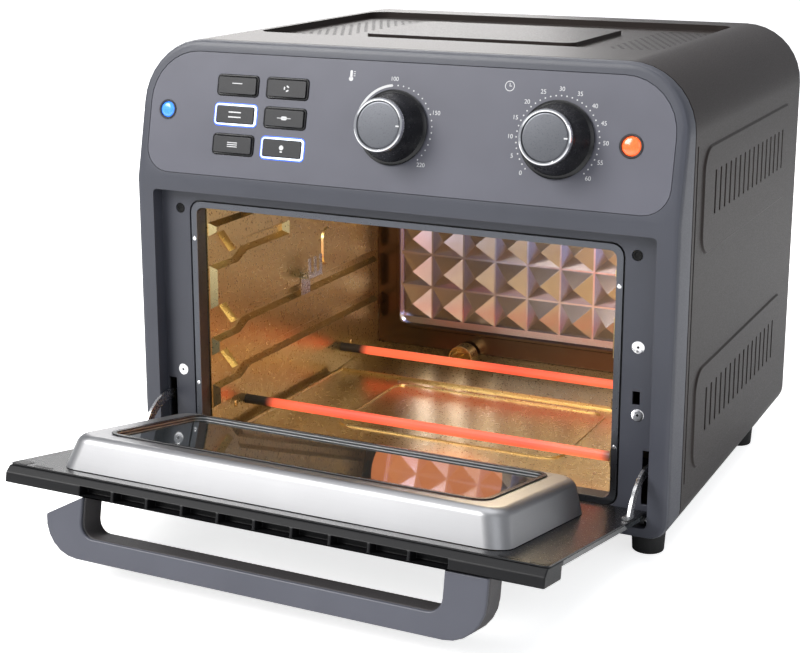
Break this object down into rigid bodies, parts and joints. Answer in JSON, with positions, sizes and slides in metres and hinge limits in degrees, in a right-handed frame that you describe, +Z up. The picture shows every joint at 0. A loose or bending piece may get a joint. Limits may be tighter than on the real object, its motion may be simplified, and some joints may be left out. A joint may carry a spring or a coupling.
{
  "type": "air fryer oven",
  "caption": "Countertop air fryer oven with a drop-down glass door, dials, push buttons, heaters and a crumb tray.",
  "frame": {"origin": "middle of the bounding box on the table, with the door open as stored", "axes": "+X to the viewer's right facing the door, +Y from the front to the back, +Z up"},
  "size_m": [0.4024, 0.503, 0.321],
  "materials": {
    "bezel_plastic": "satin dark grey",
    "panel_plastic": "satin grey",
    "shell_paint": "satin warm grey coating",
    "dark_plastic": "satin black",
    "black_gloss": "gloss black",
    "lit_rim": "translucent white",
    "blue_lens": "clear blue",
    "orange_lens": "clear orange",
    "bright_steel": "fine brushed",
    "cavity_sheet": "bright sheet lit warm",
    "heater_sheath": "glowing sheath",
    "plain_sheath": "dark sheath",
    "trim_chrome": "polished",
    "cap_metal": "satin grey",
    "circuit_board": "green board",
    "window_glass": "tinted",
    "foot_rubber": "matt black",
    "motor_metal": "dark",
    "grip_plastic": "satin brown grey"
  },
  "bodies": {
    "oven": {"outer_shell": "shell_paint", "rear_cover": "shell_paint", "base_plate": "motor_metal", "front_bezel": "bezel_plastic", "control_panel": "panel_plastic", "button_light_guide": "lit_rim", "switch_board": "circuit_board", "power_lamp": "blue_lens", "heating_lamp": "orange_lens", "thermostat": "bright_steel", "timer_unit": "bright_steel", "cavity_left_wall": "cavity_sheet", "cavity_right_wall": "cavity_sheet", "cavity_back_wall": "cavity_sheet", "cavity_roof": "cavity_sheet", "cavity_floor": "cavity_sheet", "cavity_front_frame": "bright_steel", "lower_front_heater": "heater_sheath", "lower_rear_heater": "heater_sheath", "upper_front_heater": "plain_sheath", "upper_rear_heater": "plain_sheath", "oven_lamp": "window_glass", "fan_motor": "motor_metal", "fan_guard": "cavity_sheet", "rotisserie_motor": "motor_metal", "rotisserie_bracket": "bright_steel", "cord_gland": "dark_plastic", "hinge_pin_left": "bright_steel", "hinge_pin_right": "bright_steel", "foot_front_left": "foot_rubber", "foot_front_right": "foot_rubber", "foot_rear_left": "foot_rubber", "foot_rear_right": "foot_rubber"},
    "temp_dial": {"temp_knob": "black_gloss", "temp_knob_ring": "trim_chrome", "temp_knob_cap": "cap_metal", "thermostat_shaft": "bright_steel"},
    "timer_dial": {"timer_knob": "black_gloss", "timer_knob_ring": "trim_chrome", "timer_knob_cap": "cap_metal", "timer_shaft": "bright_steel"},
    "tray": {"crumb_tray": "cavity_sheet"},
    "fan": {"convection_fan": "bright_steel"},
    "spit_drive": {"rotisserie_socket": "bright_steel"},
    "door": {"door_flange": "dark_plastic", "door_pan": "bright_steel", "door_inner_glass": "window_glass", "door_window_frame": "dark_plastic", "door_outer_glass": "window_glass", "door_top_bar": "dark_plastic", "door_handle_body": "grip_plastic", "door_handle_cover": "bezel_plastic", "hinge_arm_left": "motor_metal", "hinge_arm_right": "motor_metal"},
    "button_body_1": {"button_1": "dark_plastic"},
    "button_body_2": {"button_2": "dark_plastic"},
    "button_body_3": {"button_3": "dark_plastic"},
    "button_body_4": {"button_4": "dark_plastic"},
    "button_body_5": {"button_5": "dark_plastic"},
    "button_body_6": {"button_6": "dark_plastic"}
  },
  "joints": [
    {"name": "door_hinge", "type": "hinge", "parent": "oven", "child": "door", "pos_m": [0, -0.0612, 0.0285], "axis": [-1, 0, 0], "range_deg": [0, 79.26]},
    {"name": "temp_knob_turn", "type": "hinge", "parent": "oven", "child": "temp_dial", "pos_m": [0, -0.05612, 0.27088], "axis": [0, 0.9768, -0.2141], "range_deg": [-162, 45]},
    {"name": "timer_knob_turn", "type": "hinge", "parent": "oven", "child": "timer_dial", "pos_m": [0.1155, -0.05612, 0.27088], "axis": [0, 0.9768, -0.2141], "range_deg": [-225, 45]},
    {"name": "crumb_tray_slide", "type": "slide", "parent": "oven", "child": "tray", "axis": [0, -1, 0], "range_m": [0, 0.018]},
    {"name": "convection_fan_spin", "type": "hinge", "parent": "oven", "child": "fan", "pos_m": [0, 0.0885, 0.236], "axis": [0, 0, 1], "continuous": true},
    {"name": "rotisserie_spin", "type": "hinge", "parent": "oven", "child": "spit_drive", "pos_m": [0.15, 0.0895, 0.128], "axis": [1, 0, 0], "continuous": true},
    {"name": "button_1_press", "type": "slide", "parent": "oven", "child": "button_body_1", "axis": [0, 0.9768, -0.2141], "range_m": [0, 0.0015], "stiffness_N_per_m": 600},
    {"name": "button_2_press", "type": "slide", "parent": "oven", "child": "button_body_2", "axis": [0, 0.9768, -0.2141], "range_m": [0, 0.0015], "stiffness_N_per_m": 600},
    {"name": "button_3_press", "type": "slide", "parent": "oven", "child": "button_body_3", "axis": [0, 0.9768, -0.2141], "range_m": [0, 0.0015], "stiffness_N_per_m": 600},
    {"name": "button_4_press", "type": "slide", "parent": "oven", "child": "button_body_4", "axis": [0, 0.9768, -0.2141], "range_m": [0, 0.0015], "stiffness_N_per_m": 600},
    {"name": "button_5_press", "type": "slide", "parent": "oven", "child": "button_body_5", "axis": [0, 0.9768, -0.2141], "range_m": [0, 0.0015], "stiffness_N_per_m": 600},
    {"name": "button_6_press", "type": "slide", "parent": "oven", "child": "button_body_6", "axis": [0, 0.9768, -0.2141], "range_m": [0, 0.0015], "stiffness_N_per_m": 600}
  ]
}
